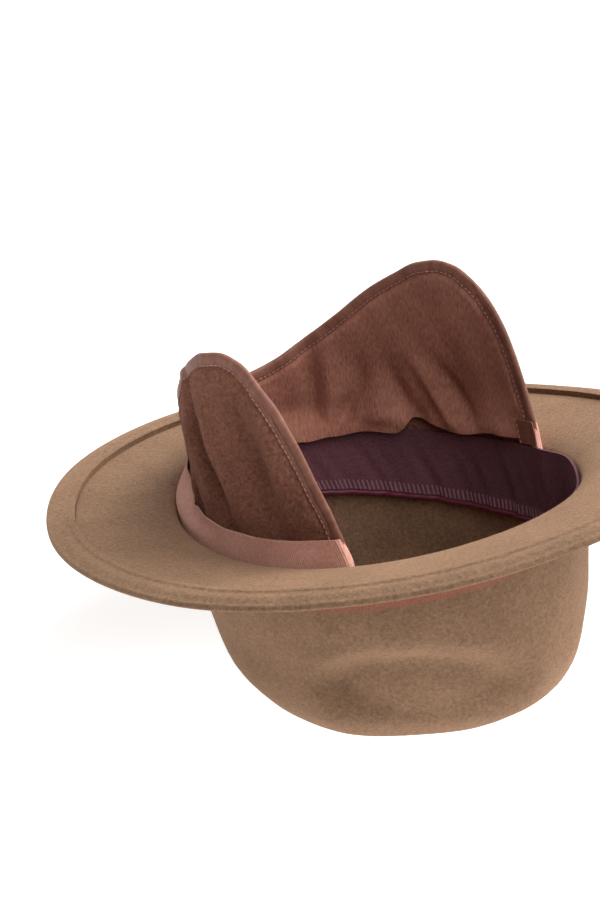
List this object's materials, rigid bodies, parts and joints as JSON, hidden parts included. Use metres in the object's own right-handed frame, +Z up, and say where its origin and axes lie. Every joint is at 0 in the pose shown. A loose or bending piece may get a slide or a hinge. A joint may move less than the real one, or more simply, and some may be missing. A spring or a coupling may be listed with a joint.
{
  "type": "earflap hat",
  "caption": "Wide-brimmed felt hat lying upside down on its dented crown, with a bound earflap standing out of the head opening.",
  "frame": {"origin": "bottom centre of the hat's box, on the surface that the upturned crown rests on", "axes": "+X to the hat's front, +Z up from the crown towards the head opening, XZ the hat's plane of symmetry"},
  "size_m": [0.3202, 0.3004, 0.1805],
  "materials": {
    "wool_felt": "pressed wool felt, matt, fine short fibres",
    "hat_band_ribbon": "plain ribbon, low sheen",
    "sweatband_cloth": "smooth cloth, low sheen",
    "piping_satin": "satin piping",
    "flap_fleece": "brushed fleece outside, smooth brushed cloth inside",
    "flap_binding": "satin-faced binding tape",
    "grosgrain_ribbon": "ribbed grosgrain, low sheen"
  },
  "bodies": {
    "root": {"felt_body": "wool_felt", "hat_band": "hat_band_ribbon", "sweatband": "sweatband_cloth", "sweatband_piping": "piping_satin", "earflap_panel": "flap_fleece", "earflap_binding": "flap_binding", "hinge_ribbon": "grosgrain_ribbon"}
  },
  "joints": []
}
